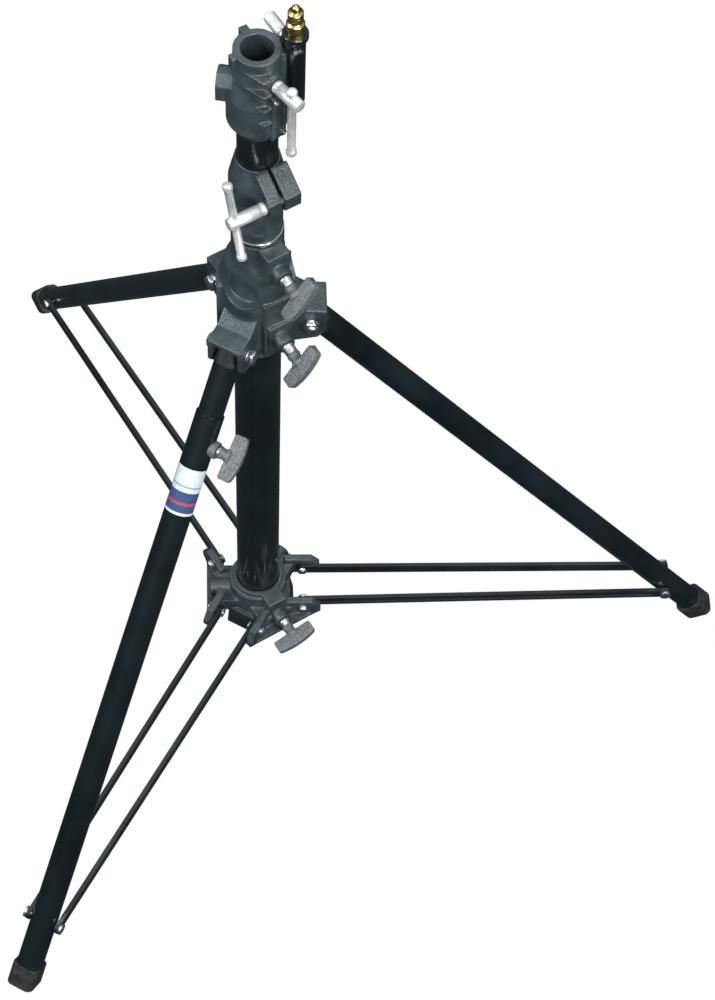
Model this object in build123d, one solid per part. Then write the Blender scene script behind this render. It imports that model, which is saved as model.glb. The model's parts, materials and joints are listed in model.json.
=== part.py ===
from build123d import *
from math import atan2, cos, degrees, hypot, radians, sin, sqrt
import os

# A lighting stand: three folding legs on a cast hub, a spreader with braces, a column with two
# telescopic risers, a locking collar and a cast head that holds a socket and a side spigot.
# Millimetres. +Z is up, the origin is on the column's axis at floor level, and the levelling leg
# points along -Y. A piece that repeats is drawn once and turned about the column.

# ---------------------------------------------------------------- directions seen from above, degrees
level_leg_turn = -90
right_leg_turn = 30
left_leg_turn = 150
leg_turns = {"front": level_leg_turn, "right": right_leg_turn, "left": left_leg_turn}
lock_turn = -30
head_screw_turn = -20
side_tube_turn = 30
head_boss_turn = 200
spigot_screw_turn = 150
key_groove_turn = -75.5

# ---------------------------------------------------------------- clearances
running = 0.05
sliding = 0.1
apart = 0.3

# ---------------------------------------------------------------- column and risers
column_radius = 22.75
tube_wall = 1.5
column_bottom = 28
end_cap_height = 6
riser1_radius = 20.5
riser2_radius = riser1_radius - tube_wall - 0.7
riser1_bottom = 62
riser2_bottom = 94
bush_flange = 12
bush_plug = 18
top_bush_height = 42
groove_width = 2.4
groove_depth = 0.5

# ---------------------------------------------------------------- hub
hub_above_pivot = 129.8
hub_below_pivot = 43.2
hub_band_radius = column_radius + 3.25
hub_body_radius = column_radius + 13.25
hub_cap_radius = column_radius + 7.95
hub_neck_radius = column_radius + 1.75
hub_flat = column_radius + 15.65
hub_recess_half = 16
hub_recess_up = 48.8
ear_wall = 4.1
arm_tip_up = 20.8
arm_root_up = 35.8
arm_past_pivot = 15.4
arm_knee_reach = column_radius + 23.25
arm_root_reach = column_radius + 8.25
arm_web = 6
upper_lock_drop = 22
lower_lock_up = 7.8
lock_block_half = 12
upper_block_reach = column_radius + 14.95
upper_boss_reach = column_radius + 25.25
lower_block_reach = column_radius + 19.25
lower_boss_reach = column_radius + 31.25
lock_boss_radius = 9
ring_height = 6
ring_radius = column_radius + 1.55

# ---------------------------------------------------------------- legs
pivot_radius = column_radius + 26.85
pivot_height = 601.2
foot_radius_at_floor = 505.9
leg_radius = 13.25
leg_wall = 1.5
level_overlap_top = 69.5
level_overlap = 98
leg_short_of_floor = 16.8
leg_cap = 16
leg_cap_plug = 29
foot_height = 14
foot_half = 15
foot_corner = 7.5
foot_front_clear = 4.3
foot_back_clear = 9.3
level_lock_along = 102
level_boss_reach = 18.5
label_start = 125
label_length = 50
label_arc = 150
label_centre = 20
label_thickness = 0.25

# ---------------------------------------------------------------- spreader and braces
brace_above_floor = 85.2
brace_depth = 13
brace_thickness = 4.4
brace_splay = 3.5
spreader_ear = 8
spreader_past_pivot = 19.4
spreader_ring_radius = column_radius + 8.25
spreader_step_radius = column_radius + 4.75
spreader_panel_top = column_radius + 13.25
spreader_panel_foot = column_radius + 17.25
spreader_panel_half = 17
spreader_gusset_reach = column_radius + 23.25
spreader_gusset_drop = 9
spreader_gusset_clear = 0.18
spreader_plate_reach = column_radius + 34.25
spreader_plate = 5
spreader_boss_radius = 10
spreader_side_reach = column_radius + 30.25
spreader_foot = -34
spreader_low = -16
spreader_high = 14
spreader_step_high = 21
spreader_top = 27
spreader_lock_reach = column_radius + 20.25
spreader_boss_reach = column_radius + 32.25
spreader_lock_above = 3

# ---------------------------------------------------------------- fasteners and knobs
pivot_bolt_radius = 5
pivot_bolt_past_arm = 7.1
brace_bolt_radius = 3
brace_head = 3.5
stub_radius = 3.5
lock_screw_radius = 4
shoe_radius = 7
wing_length = 46
wing_depth = 13
wing_thickness = 8.5
wing_crown = 3
knob_stem_radius = 6.5
upper_knob_stem = 19.5
lower_knob_stem = 20
spreader_knob_stem = 17
level_knob_stem = 10.5

# ---------------------------------------------------------------- collar on the first riser
collar_gap = 0.2
collar_height = 101
collar_skirt_radius = riser1_radius + 2.7
collar_clamp_radius = riser2_radius + 7.7
collar_step = 55
collar_ledge = 62
collar_cone = 28
collar_ear_reach = riser2_radius + 26.7
collar_ear_left = 14
collar_ear_right = 18
collar_ear_low = 65
collar_ear_high = 84
collar_slot = 3
collar_screw_reach = riser2_radius + 18.7
collar_screw_above = 75.5

# ---------------------------------------------------------------- T-handles
handle_sleeve_radius = 5.9
handle_bar_radius = 3.8
handle_bar_length = 84
handle_bar_end_radius = 4.7
handle_bar_end = 6
collar_handle_length = 52
collar_bar_lean = 17.3
head_handle_start = 23.8
head_handle_end = 54.5

# ---------------------------------------------------------------- head
head_above_collar = 41.8
head_height = 99
socket_radius = 14.3
socket_depth = 75
head_rim_radius = socket_radius + 6.4
head_body_radius = riser2_radius + 8.7
head_seat = 19
head_screw_up = 72
head_boss_up = 48
head_set_screw_high = 57
head_set_screw_low = 13
head_set_screw_aside = 3.8
head_boss_reach = 34
head_boss_half_wide = 13
head_boss_half_tall = 16.5
head_rib_pitch = 18
head_rib_drop = 11
head_rib_count = 4
head_pad_reach = 28.5
side_tube_reach = 31.3
side_tube_radius = 9.0
side_tube_up = 34
side_tube_above_head = 10
side_ring_height = 9
side_ring_radius = side_tube_radius + 2.3
spigot_radius = 8
spigot_shank_radius = 7.7
spigot_seat_up = 75
spigot_pin_length = 12
spigot_neck_length = 6
spigot_neck_radius = 5.4
spigot_head_radius = 6.7
spigot_head_length = 7
spigot_stud_radius = 3.6
spigot_stud_length = 7
spigot_screw_drop = 13
spigot_screw_near = 20
spigot_screw_far = 42
spigot_screw_radius = 5.8
spigot_nut_radius = 7

# ---------------------------------------------------------------- worked out from the sizes above
leg_angle = degrees(atan2(foot_radius_at_floor - pivot_radius, pivot_height))
leg_length = hypot(foot_radius_at_floor - pivot_radius, pivot_height)
leg_end = leg_length - leg_short_of_floor
foot_top = leg_end - foot_height
foot_front_end = leg_length - foot_front_clear
foot_back_end = leg_length - foot_back_clear
level_inner_end = leg_end - level_overlap
brace_on_leg = leg_length - brace_above_floor
brace_length = brace_on_leg * sin(radians(leg_angle))
hub_top = pivot_height + hub_above_pivot
hub_bottom = pivot_height - hub_below_pivot
hub_recess_floor = pivot_height + hub_recess_up
arm_tip_height = pivot_height + arm_tip_up
arm_root_height = pivot_height + arm_root_up
arm_reach = pivot_radius + arm_past_pivot
arm_half_width = leg_radius + 4.45
upper_lock_height = hub_top - upper_lock_drop
lower_lock_height = pivot_height + lower_lock_up
pivot_bolt_end = arm_half_width + pivot_bolt_past_arm
level_outer_radius = leg_radius + 0.75
level_inner_radius = leg_radius - 0.65
brace_offset_leg = leg_radius + 3.75
brace_offset_spreader = brace_offset_leg + brace_splay
spreader_height = pivot_height - brace_on_leg * cos(radians(leg_angle))
column_bore = column_radius - tube_wall
riser1_bore = riser1_radius - tube_wall
riser2_bore = riser2_radius - tube_wall
collar_bottom = hub_top + ring_height + collar_gap
collar_top = collar_bottom + collar_height
head_bottom = collar_top + head_above_collar
head_top = head_bottom + head_height
head_screw_height = head_bottom + head_screw_up
head_boss_height = head_bottom + head_boss_up
head_rib_top = head_top - head_rib_drop
side_tube_bottom = head_bottom + side_tube_up
side_ring_bottom = head_top + side_tube_above_head
side_ring_top = side_ring_bottom + side_ring_height
spigot_bottom = head_bottom + spigot_seat_up
spigot_neck_bottom = side_ring_top + spigot_pin_length
spigot_neck_top = spigot_neck_bottom + spigot_neck_length
spigot_top = spigot_neck_top + spigot_head_length
spigot_stud_top = spigot_top + spigot_stud_length
spigot_screw_height = side_ring_bottom - spigot_screw_drop
riser1_top = collar_bottom + collar_ledge - sliding
riser2_top = head_bottom + head_seat
collar_screw_height = collar_bottom + collar_screw_above
socket_floor = head_top - socket_depth
arm_inner = arm_half_width - ear_wall
spreader_ear_inner = brace_offset_spreader + brace_thickness / 2 + apart
spreader_ear_outer = spreader_ear_inner + spreader_ear
brace_end_radius = pivot_radius - brace_depth / 2
spreader_lock_height = spreader_height + spreader_lock_above
handle_bar_travel = handle_bar_length / 2 - handle_bar_end - handle_sleeve_radius - apart


# ---------------------------------------------------------------- plain shapes
def rod_z(radius, low, high):
    return Pos(0, 0, (low + high) / 2) * Cylinder(radius, high - low)


def tube_z(outer, inner, low, high):
    return rod_z(outer, low, high) - rod_z(inner, low - 1, high + 1)


def cone_z(low_radius, high_radius, low, high):
    return Pos(0, 0, (low + high) / 2) * Cone(low_radius, high_radius, high - low)


def rod_x(radius, start, end):
    return Pos((start + end) / 2, 0, 0) * Rot(0, 90, 0) * Cylinder(radius, end - start)


def rod_y(radius, start, end):
    return Pos(0, (start + end) / 2, 0) * Rot(90, 0, 0) * Cylinder(radius, end - start)


def block(x_low, x_high, y_low, y_high, z_low, z_high):
    size = Box(x_high - x_low, y_high - y_low, z_high - z_low)
    return Pos((x_low + x_high) / 2, (y_low + y_high) / 2, (z_low + z_high) / 2) * size


def hexagon_y(across_flats, start, end):
    """A hexagonal prism along Y."""
    prism = extrude(RegularPolygon(across_flats / sqrt(3), 6), end - start)
    return Pos(0, start, 0) * Rot(-90, 0, 0) * prism


def profile_y(points, start, end):
    """An outline of (x, z) points given a thickness along Y."""
    face = make_face(Polyline([(x, 0, z) for x, z in points], close=True))
    return Pos(0, end, 0) * extrude(face, end - start, dir=(0, -1, 0))


def about_column(turn):
    """The local frame of a direction: X points outwards, Y runs round the column."""
    return Rot(0, 0, turn)


def along_leg(turn):
    """The frame of a leg: its origin is the hub pivot and the leg runs along -Z."""
    return Rot(0, 0, turn) * Pos(pivot_radius, 0, pivot_height) * Rot(0, -leg_angle, 0)


def at_spreader(turn):
    """The frame of a brace pivot on the spreader, X outwards."""
    return Rot(0, 0, turn) * Pos(pivot_radius, 0, spreader_height)


def at_side_tube():
    return Rot(0, 0, side_tube_turn) * Pos(side_tube_reach, 0, 0)


# ---------------------------------------------------------------- hub and column
def hub_arm():
    """One arm: a box that swells into the body, with two ears and a channel for the folded leg."""
    outline = [
        (0, arm_root_height),
        (arm_root_reach, arm_root_height),
        (arm_knee_reach, arm_tip_height + 2),
        (arm_reach, arm_tip_height),
        (arm_reach, pivot_height - 9),
        (arm_reach - 8, pivot_height - 20),
        (20, hub_bottom + 15),
        (0, hub_bottom + 15),
    ]
    return profile_y(outline, -arm_half_width, arm_half_width)


def hub_recess():
    """The U-shaped hollow above an arm, open at the top, down to the neck's radius."""
    depth = hub_neck_radius + 0.5
    floor = hub_recess_floor + hub_recess_half
    hollow = block(depth, hub_body_radius + 1, -hub_recess_half, hub_recess_half, floor, hub_top + 1)
    return hollow + Pos(0, 0, floor) * rod_x(hub_recess_half, depth, hub_body_radius + 1)


def hub_arm_cuts():
    top = arm_tip_height - arm_web
    reach = pivot_radius - leg_radius - 1.8
    channel = block(reach, arm_reach + 1, -arm_inner, arm_inner, hub_bottom - 5, top)
    bolt_hole = rod_y(pivot_bolt_radius + running, -arm_half_width - 1, arm_half_width + 1)
    return channel + Pos(pivot_radius, 0, pivot_height) * bolt_hole


def lock_boss(block_reach, boss_reach, low, high, centre):
    """A square block with a round boss for a clamp screw, X outwards."""
    square = block(hub_neck_radius - 2, block_reach, -lock_block_half, lock_block_half, low, high)
    return square + Pos(0, 0, centre) * rod_x(lock_boss_radius, block_reach - 1, boss_reach)


def lock_bore(pocket_start, pocket_end, boss_reach):
    """The pocket of the clamp shoe and the threaded hole behind it."""
    pocket = rod_x(shoe_radius + running, pocket_start, pocket_end + running)
    return pocket + rod_x(lock_screw_radius + running, pocket_end, boss_reach + 1)


upper_shoe_start = riser1_radius + apart
upper_shoe_end = upper_shoe_start + 6.6
lower_shoe_start = column_radius + apart
lower_shoe_end = lower_shoe_start + 5


def make_hub_casting():
    body = rod_z(hub_band_radius, hub_bottom, hub_bottom + 16)
    body += cone_z(hub_band_radius, hub_body_radius, hub_bottom + 16, hub_bottom + 27)
    body += rod_z(hub_body_radius, hub_bottom + 27, hub_top - 68)
    body += cone_z(hub_body_radius, hub_cap_radius, hub_top - 68, hub_top - 50)
    body += rod_z(hub_cap_radius, hub_top - 50, hub_top - 43)
    body += cone_z(hub_cap_radius, hub_neck_radius, hub_top - 43, hub_top - 29)
    body += rod_z(hub_neck_radius, hub_top - 29, hub_top)
    for turn in leg_turns.values():
        body -= about_column(turn) * hub_recess()
        body += about_column(turn) * hub_arm()
        panel = block(0, hub_flat, -15, 15, hub_bottom + 24, hub_top - 70)
        body += about_column(turn + 60) * panel
    upper = lock_boss(upper_block_reach, upper_boss_reach, hub_top - 34, hub_top, upper_lock_height)
    lower_low = lower_lock_height - 14
    lower_high = lower_lock_height + 19
    lower = lock_boss(lower_block_reach, lower_boss_reach, lower_low, lower_high, lower_lock_height)
    body += about_column(lock_turn) * (upper + lower)
    body -= rod_z(column_radius + running, hub_bottom - 1, hub_top + 1)
    for turn in leg_turns.values():
        body -= about_column(turn) * hub_arm_cuts()
    upper_bore = lock_bore(0, upper_shoe_end, upper_boss_reach)
    lower_bore = lock_bore(0, lower_shoe_end, lower_boss_reach)
    body -= about_column(lock_turn) * Pos(0, 0, upper_lock_height) * upper_bore
    body -= about_column(lock_turn) * Pos(0, 0, lower_lock_height) * lower_bore
    return body


def upper_lock_window():
    return about_column(lock_turn) * Pos(0, 0, upper_lock_height) * rod_x(shoe_radius + running, 0, 40)


def make_column_tube():
    tube = tube_z(column_radius, column_bore, column_bottom, hub_top)
    half = groove_width / 2
    groove = block(column_radius - groove_depth, column_radius + 1, -half, half, 0, hub_top + 1)
    return tube - about_column(key_groove_turn) * groove - upper_lock_window()


def make_column_ring():
    return tube_z(ring_radius, riser1_radius + sliding, hub_top, hub_top + ring_height)


def make_column_end_cap():
    cap = rod_z(column_radius, column_bottom - end_cap_height, column_bottom)
    cap += rod_z(column_bore - running, column_bottom, column_bottom + 12)
    return cap - rod_z(6, 0, column_bottom + 20)


def make_column_top_bush():
    bush = tube_z(column_bore - running, riser1_radius + running, hub_top - top_bush_height, hub_top)
    return bush - upper_lock_window()


def lock_shoe(start, end, height):
    return about_column(lock_turn) * Pos(0, 0, height) * rod_x(shoe_radius, start, end)


# ---------------------------------------------------------------- knobs and clamp screws
def wing(stem, tilt):
    """A wing with a crowned outer edge on a tapered stem, X outwards from the boss."""
    half = wing_length / 2
    start = stem
    end = stem + wing_depth
    path = Polyline([(start, -half), (end, -half)])
    path += ThreePointArc((end, -half), (end + wing_crown, 0), (end, half))
    path += Polyline([(end, half), (start, half), (start, -half)])
    plate = extrude(make_face(path), wing_thickness / 2, both=True)
    post = Rot(0, 90, 0) * cone_z(knob_stem_radius + 1.5, knob_stem_radius, apart, stem + 4)
    knob = post + Rot(tilt, 0, 0) * plate
    return knob - rod_x(lock_screw_radius + running, -1, stem + 9)


def clamp_screw(tip, stem):
    """A steel screw from its tip, inside the casting, to its end inside the wing."""
    return rod_x(lock_screw_radius, tip, stem + 8.5)


def hub_knob(boss_reach, height):
    return about_column(lock_turn) * Pos(boss_reach, 0, height)


def spreader_knob():
    return about_column(lock_turn) * Pos(spreader_boss_reach, 0, spreader_lock_height)


def level_knob():
    place = Pos(0, level_boss_reach, -level_lock_along) * Rot(0, 0, 90)
    return along_leg(level_leg_turn) * place


# ---------------------------------------------------------------- risers and collar
def foot_bush(outer, plug, low):
    """A guide bush: a flange that slides in the bigger tube, and a plug in the smaller one."""
    bush = rod_z(outer, low - bush_flange, low)
    bush += rod_z(plug, low - 0.5, low + bush_plug)
    return bush - rod_z(plug - 4, low - bush_flange - 1, low + bush_plug + 1)


def make_collar_casting():
    low = collar_bottom
    skirt = rod_z(collar_skirt_radius, low, low + collar_step)
    shoulder = collar_top - collar_cone
    clamp = rod_z(collar_clamp_radius, low + collar_step, shoulder)
    clamp += cone_z(collar_clamp_radius, riser2_radius + 1.8, shoulder, collar_top)
    outline = [
        (riser2_radius, low + collar_ear_low),
        (collar_ear_reach - 7, low + collar_ear_low),
        (collar_ear_reach, low + collar_ear_low + 4),
        (collar_ear_reach, low + collar_ear_high),
        (riser2_radius + 3, collar_top),
        (riser2_radius, collar_top),
    ]
    ears = about_column(lock_turn) * profile_y(outline, -collar_ear_left, collar_ear_right)
    body = skirt + clamp + ears
    for turn in range(lock_turn - 60, lock_turn + 300, 60):
        window = block(collar_skirt_radius - 1.2, 40, -7, 7, low + 12, low + collar_step - 12)
        body -= about_column(turn + 30) * window
    body -= rod_z(riser1_radius + running, low - 1, low + collar_ledge)
    body -= rod_z(riser2_radius + sliding, low, collar_top + 1)
    half = collar_slot / 2
    slot = block(riser2_radius - 2, 60, -half, half, low + collar_ledge - 2, collar_top + 1)
    hole = rod_y(lock_screw_radius + running, -30, collar_ear_right - 3)
    hole = Pos(collar_screw_reach, 0, collar_screw_height) * hole
    return body - about_column(lock_turn) * (slot + hole)


def handle_screw(thread_start, sleeve_start, sleeve_end, bar_at):
    """The screw of a T-handle along X, with the cross hole for its bar along Z."""
    screw = rod_x(lock_screw_radius, thread_start, sleeve_start + 1)
    screw += rod_x(handle_sleeve_radius, sleeve_start, sleeve_end)
    return screw - Pos(bar_at, 0, 0) * rod_z(handle_bar_radius + running, -20, 20)


def handle_bar(centre):
    """A bar along Z with a swollen end each side, its middle at the given height."""
    half = handle_bar_length / 2
    bar = rod_z(handle_bar_radius, centre - half, centre + half)
    for side in (-1, 1):
        middle = centre + side * (half - handle_bar_end / 2)
        swell = rod_z(handle_bar_end_radius, middle - handle_bar_end / 2, middle + handle_bar_end / 2)
        bar += chamfer(swell.edges().filter_by(GeomType.CIRCLE), 1.3)
    return bar


def collar_handle():
    """The frame of the collar's T-handle: X along its screw, Z along its leaning bar."""
    place = Pos(collar_screw_reach, 0, collar_screw_height)
    return about_column(lock_turn) * place * Rot(0, -collar_bar_lean, 0) * Rot(0, 0, -90)


def head_handle():
    return about_column(head_screw_turn) * Pos(0, 0, head_screw_height)


# ---------------------------------------------------------------- head
def make_head_casting():
    low = head_bottom
    body = cone_z(riser2_radius + 1.7, head_body_radius - 0.5, low, low + 12)
    body += rod_z(head_body_radius, low + 12, low + 47)
    body += cone_z(head_body_radius, head_rim_radius, low + 47, low + 64)
    body += rod_z(head_rim_radius, low + 64, head_top)
    boss = profile_head_boss()
    body += about_column(head_boss_turn) * boss
    screw_boss = Pos(0, 0, head_screw_height) * rod_x(9.5, 0, head_handle_start - apart)
    screw_boss += block(0, head_pad_reach, -8, 8, low + 8, head_screw_height - 9)
    screw_boss += head_ribs()
    body += about_column(head_screw_turn) * screw_boss
    body += about_column(147) * block(15, 26.5, -4, 4, head_top - 15, head_top)
    body += about_column(232) * block(15, 24.5, -4, 4, head_top - 15, head_top - 2)
    web = block(12, side_tube_reach - 2, -6, 6, side_tube_bottom + 6, side_ring_bottom - 12)
    body += about_column(side_tube_turn) * web
    body -= at_side_tube() * rod_z(side_tube_radius + running, low, head_top + 30)
    body -= at_side_tube() * rod_z(side_ring_radius + apart, side_ring_bottom - 0.1, head_top + 30)
    body -= rod_z(riser2_radius + running, low - 1, riser2_top)
    body -= rod_z(socket_radius, socket_floor, head_top + 1)
    body -= head_handle() * rod_x(lock_screw_radius + running, 0, 40)
    return body - spigot_screw_path(spigot_nut_radius + apart)


def head_ribs():
    """Level ribs beside the screw boss, one above another."""
    outline = [(0, 0, 0), (0, -19.5, 0), (5, -20.5, 0), (27, -16, 0), (28, -8, 0), (14, -7, 0)]
    rib = extrude(make_face(Polyline(outline, close=True)), 3, dir=(0, 0, -1))
    ribs = Pos(0, 0, head_rib_top) * rib
    for step in range(1, head_rib_count):
        ribs += Pos(0, 0, head_rib_top - step * head_rib_pitch) * rib
    return ribs


def profile_head_boss():
    """The eight-sided boss on the side of the head, X outwards."""
    half_wide = head_boss_half_wide
    half_tall = head_boss_half_tall
    corner = 8
    outline = [
        (half_wide, corner - half_tall),
        (half_wide, half_tall - corner),
        (half_wide - corner, half_tall),
        (corner - half_wide, half_tall),
        (-half_wide, half_tall - corner),
        (-half_wide, corner - half_tall),
        (corner - half_wide, -half_tall),
        (half_wide - corner, -half_tall),
    ]
    face = make_face(Polyline([(0, y, z) for y, z in outline], close=True))
    slab = extrude(face, head_boss_reach, dir=(1, 0, 0))
    recess = rod_x(6, head_boss_reach - 1, head_boss_reach + 1)
    return Pos(0, 0, head_boss_height) * (slab - recess)


def spigot_screw_path(radius):
    """Along the direction of the spigot's clamp screw, from the side tube outwards."""
    place = at_side_tube() * Rot(0, 0, spigot_screw_turn - side_tube_turn)
    return place * Pos(0, 0, spigot_screw_height) * rod_x(radius, 0, 60)


def make_side_tube():
    tube = tube_z(side_tube_radius, spigot_shank_radius + running, side_tube_bottom, side_ring_bottom)
    tube += rod_z(side_tube_radius, side_tube_bottom, spigot_bottom)
    tube -= rod_z(spigot_radius - 3, side_tube_bottom - 1, spigot_bottom - 4)
    turned = Rot(0, 0, spigot_screw_turn - side_tube_turn)
    nut = Pos(0, 0, spigot_screw_height) * (turned * rod_x(spigot_nut_radius, 6, 15))
    tube += nut - rod_z(spigot_shank_radius + running, spigot_bottom, side_ring_bottom)
    hole = rod_x(lock_screw_radius + running, 0, 20)
    return at_side_tube() * (tube - Pos(0, 0, spigot_screw_height) * (turned * hole))


def make_side_ring():
    ring = cone_z(side_tube_radius, side_ring_radius, side_ring_bottom, side_ring_bottom + 3)
    ring += rod_z(side_ring_radius, side_ring_bottom + 3, side_ring_top)
    bore = rod_z(spigot_shank_radius + running, side_ring_bottom - 1, side_ring_top + 1)
    return at_side_tube() * (ring - bore)


def make_spigot():
    low = spigot_neck_bottom
    high = spigot_neck_top
    shoulder = side_ring_top + apart
    pin = rod_z(spigot_shank_radius, spigot_bottom, shoulder)
    pin += rod_z(spigot_radius, shoulder, low)
    pin += cone_z(spigot_radius, spigot_neck_radius, low, low + 2)
    pin += rod_z(spigot_neck_radius, low + 2, high - 1)
    pin += cone_z(spigot_neck_radius, spigot_head_radius, high - 1, high)
    pin += rod_z(spigot_head_radius, high, spigot_top)
    pin += rod_z(spigot_stud_radius, spigot_top, spigot_stud_top - 2)
    pin += cone_z(spigot_stud_radius, spigot_stud_radius - 2, spigot_stud_top - 2, spigot_stud_top)
    return at_side_tube() * pin


def make_spigot_screw():
    screw = rod_x(lock_screw_radius, spigot_shank_radius + apart, spigot_screw_near + 1)
    head = rod_x(spigot_screw_radius, spigot_screw_near, spigot_screw_far)
    screw += chamfer(head.edges().filter_by(GeomType.CIRCLE), 0.8)
    place = at_side_tube() * Rot(0, 0, spigot_screw_turn - side_tube_turn)
    return place * Pos(0, 0, spigot_screw_height) * screw


def make_side_rivets():
    """Two round rivet heads just below the ring of the side tube."""
    rivets = []
    for turn in (-32, -58):
        head = rod_x(2, side_tube_radius + running, side_tube_radius + 1.2)
        place = at_side_tube() * Rot(0, 0, turn - side_tube_turn)
        rivets.append(place * Pos(0, 0, side_ring_bottom - 6) * head)
    return rivets


def make_head_set_screws():
    screws = []
    face = head_pad_reach + running
    places = ((-head_set_screw_aside, head_set_screw_high), (head_set_screw_aside, head_set_screw_low))
    for across, up in places:
        head = rod_x(3, face, face + 1.8) - rod_x(1.5, face + 0.8, face + 3)
        screws.append(about_column(head_screw_turn) * Pos(0, across, head_bottom + up) * head)
    return screws


# ---------------------------------------------------------------- legs
def make_leg_tube(radius, wall, start, end):
    return tube_z(radius, radius - wall, -end, -start)


def make_leg_cap(tube_radius, wall):
    """The moulded end of a leg: a ball round the hub pivot and a plug in the tube."""
    cap = Sphere(leg_radius) + rod_z(leg_radius, -leg_cap, 0)
    cap += rod_z(tube_radius - wall - running, -leg_cap - leg_cap_plug, -leg_cap)
    return cap - rod_y(pivot_bolt_radius + running, -20, 20)


def make_foot(turn, tube_radius):
    """A square rubber boot on the end of the leg, its end sloped and its heel cut level."""
    section = RectangleRounded(2 * foot_half, 2 * foot_half, foot_corner)
    boot = Pos(0, 0, -leg_end - 40) * extrude(section, leg_end + 40 - foot_top)
    reach = foot_half + 2
    slope = [
        (-reach, -foot_top + 1),
        (reach, -foot_top + 1),
        (reach, -foot_front_end),
        (-reach, -foot_back_end),
    ]
    boot &= profile_y(slope, -reach, reach)
    boot -= rod_z(tube_radius + running, -leg_end - running, -foot_top + 1)
    above_floor = Pos(0, 0, 100) * Box(2000, 2000, 200)
    return (along_leg(turn) * boot) & above_floor


def pivot_bolt():
    """A hexagon bolt through the ears of a hub arm, head at +Y."""
    face = arm_half_width + sliding
    bolt = rod_y(pivot_bolt_radius, -pivot_bolt_end, face + 1)
    bolt += rod_y(8.5, face, face + 1.3)
    bolt += hexagon_y(15, face + 1.3, pivot_bolt_end)
    nut = hexagon_y(15, -pivot_bolt_end + 1.2, -face)
    nut -= rod_y(pivot_bolt_radius + running, -pivot_bolt_end, -face + 1)
    return [bolt, nut]


def pivot_bolt_set(turn):
    place = about_column(turn) * Pos(pivot_radius, 0, pivot_height)
    return [place * piece for piece in pivot_bolt()]


def make_level_boss():
    boss = rod_y(8.5, 9, level_boss_reach)
    boss = Pos(0, 0, -level_lock_along) * (boss - rod_y(lock_screw_radius + running, 5, 30))
    return boss - rod_z(level_outer_radius + running, -level_lock_along - 20, -level_lock_along + 20)


def make_level_outer_tube():
    wall = level_outer_radius - level_inner_radius - sliding
    tube = make_leg_tube(level_outer_radius, wall, level_overlap_top, leg_end)
    return tube - Pos(0, 0, -level_lock_along) * rod_y(lock_screw_radius + running, 5, 30)


def make_leg_label():
    """A thin printed label wrapped round the outer side of the levelling tube."""
    inner = level_outer_radius + running
    band = tube_z(inner + label_thickness, inner, -label_start - label_length, -label_start)
    reach = 30
    edge = Rot(0, 0, label_centre)
    half = label_arc / 2
    wedge = make_face(
        Polyline(
            [
                (0, 0),
                (reach * cos(radians(half)), -reach * sin(radians(half))),
                (reach, -reach * sin(radians(half))),
                (reach, reach * sin(radians(half))),
                (reach * cos(radians(half)), reach * sin(radians(half))),
            ],
            close=True,
        )
    )
    cut = Pos(0, 0, -label_start - label_length - 5) * extrude(wedge, label_length + 10)
    return band & (edge * cut)


# ---------------------------------------------------------------- braces and spreader
def make_brace(turn, side):
    """One brace: a flat bar with round ends and a groove along its outer face."""
    half = brace_thickness / 2
    depth = brace_depth / 2
    bar = block(0, brace_length, -half, half, -depth, depth)
    bar += rod_y(depth, -half, half)
    bar += Pos(brace_length, 0, 0) * rod_y(depth, -half, half)
    groove = block(14, brace_length - 14, side * (half - 0.6) - 0.6, side * (half - 0.6) + 0.6, -3.2, 3.2)
    lean = degrees(atan2(brace_offset_spreader - brace_offset_leg, brace_length))
    bar = Pos(0, side * brace_offset_spreader, 0) * Rot(0, 0, -side * lean) * (bar - groove)
    bar -= rod_y(brace_bolt_radius + running, -40, 40)
    bar -= Pos(brace_length, 0, 0) * rod_y(stub_radius + running, -40, 40)
    return at_spreader(turn) * bar


def make_brace_stubs(turn):
    """The bolt at the leg end of a brace pair, one headed stub each side of the leg."""
    stubs = []
    for side in (-1, 1):
        inner = level_outer_radius + apart
        face = brace_offset_leg + brace_thickness / 2 + 0.2
        shank = rod_y(stub_radius, inner, face + 1)
        head = rod_y(6, face, face + 2.6)
        outwards = Rot(0, 0, 90 - side * 90)
        stubs.append(at_spreader(turn) * Pos(brace_length, 0, 0) * outwards * (shank + head))
    return stubs


def make_spreader_bolts(turn):
    """The two short bolts that hold a brace pair in the spreader's ears, each with its nut."""
    pieces = []
    nut_face = brace_offset_spreader - brace_thickness / 2 - 0.2
    for side in (-1, 1):
        place = at_spreader(turn) * Rot(0, 0, 90 - side * 90)
        shank = rod_y(brace_bolt_radius, nut_face - 3, spreader_ear_outer + 1)
        face = spreader_ear_outer + sliding
        head = hexagon_y(10, face, face + brace_head)
        pieces.append(place * (shank + head))
        nut = hexagon_y(10, nut_face - 2.4, nut_face)
        pieces.append(place * (nut - rod_y(brace_bolt_radius + running, 0, 40)))
    return pieces


def spreader_yoke():
    """The pair of ears that holds one brace pair, with the sloping wall between them."""
    low = spreader_height + spreader_low
    high = spreader_height + spreader_high
    reach = pivot_radius + spreader_past_pivot
    outline = [
        (30, low + 2),
        (reach - 9, low + 2),
        (reach, low + 10),
        (reach, low + 18),
        (reach - 9, high - 1),
        (30, high),
    ]
    ears = profile_y(outline, spreader_ear_inner, spreader_ear_outer)
    ears += profile_y(outline, -spreader_ear_outer, -spreader_ear_inner)
    web = block(0, spreader_panel_top, -spreader_ear_outer, spreader_ear_outer, low, spreader_height - 9)
    wall = [
        (0, spreader_height - 9),
        (spreader_panel_top, spreader_height - 9),
        (spreader_panel_foot, spreader_height + spreader_foot),
        (0, spreader_height + spreader_foot),
    ]
    return ears + web + profile_y(wall, -spreader_panel_half, spreader_panel_half)


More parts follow.
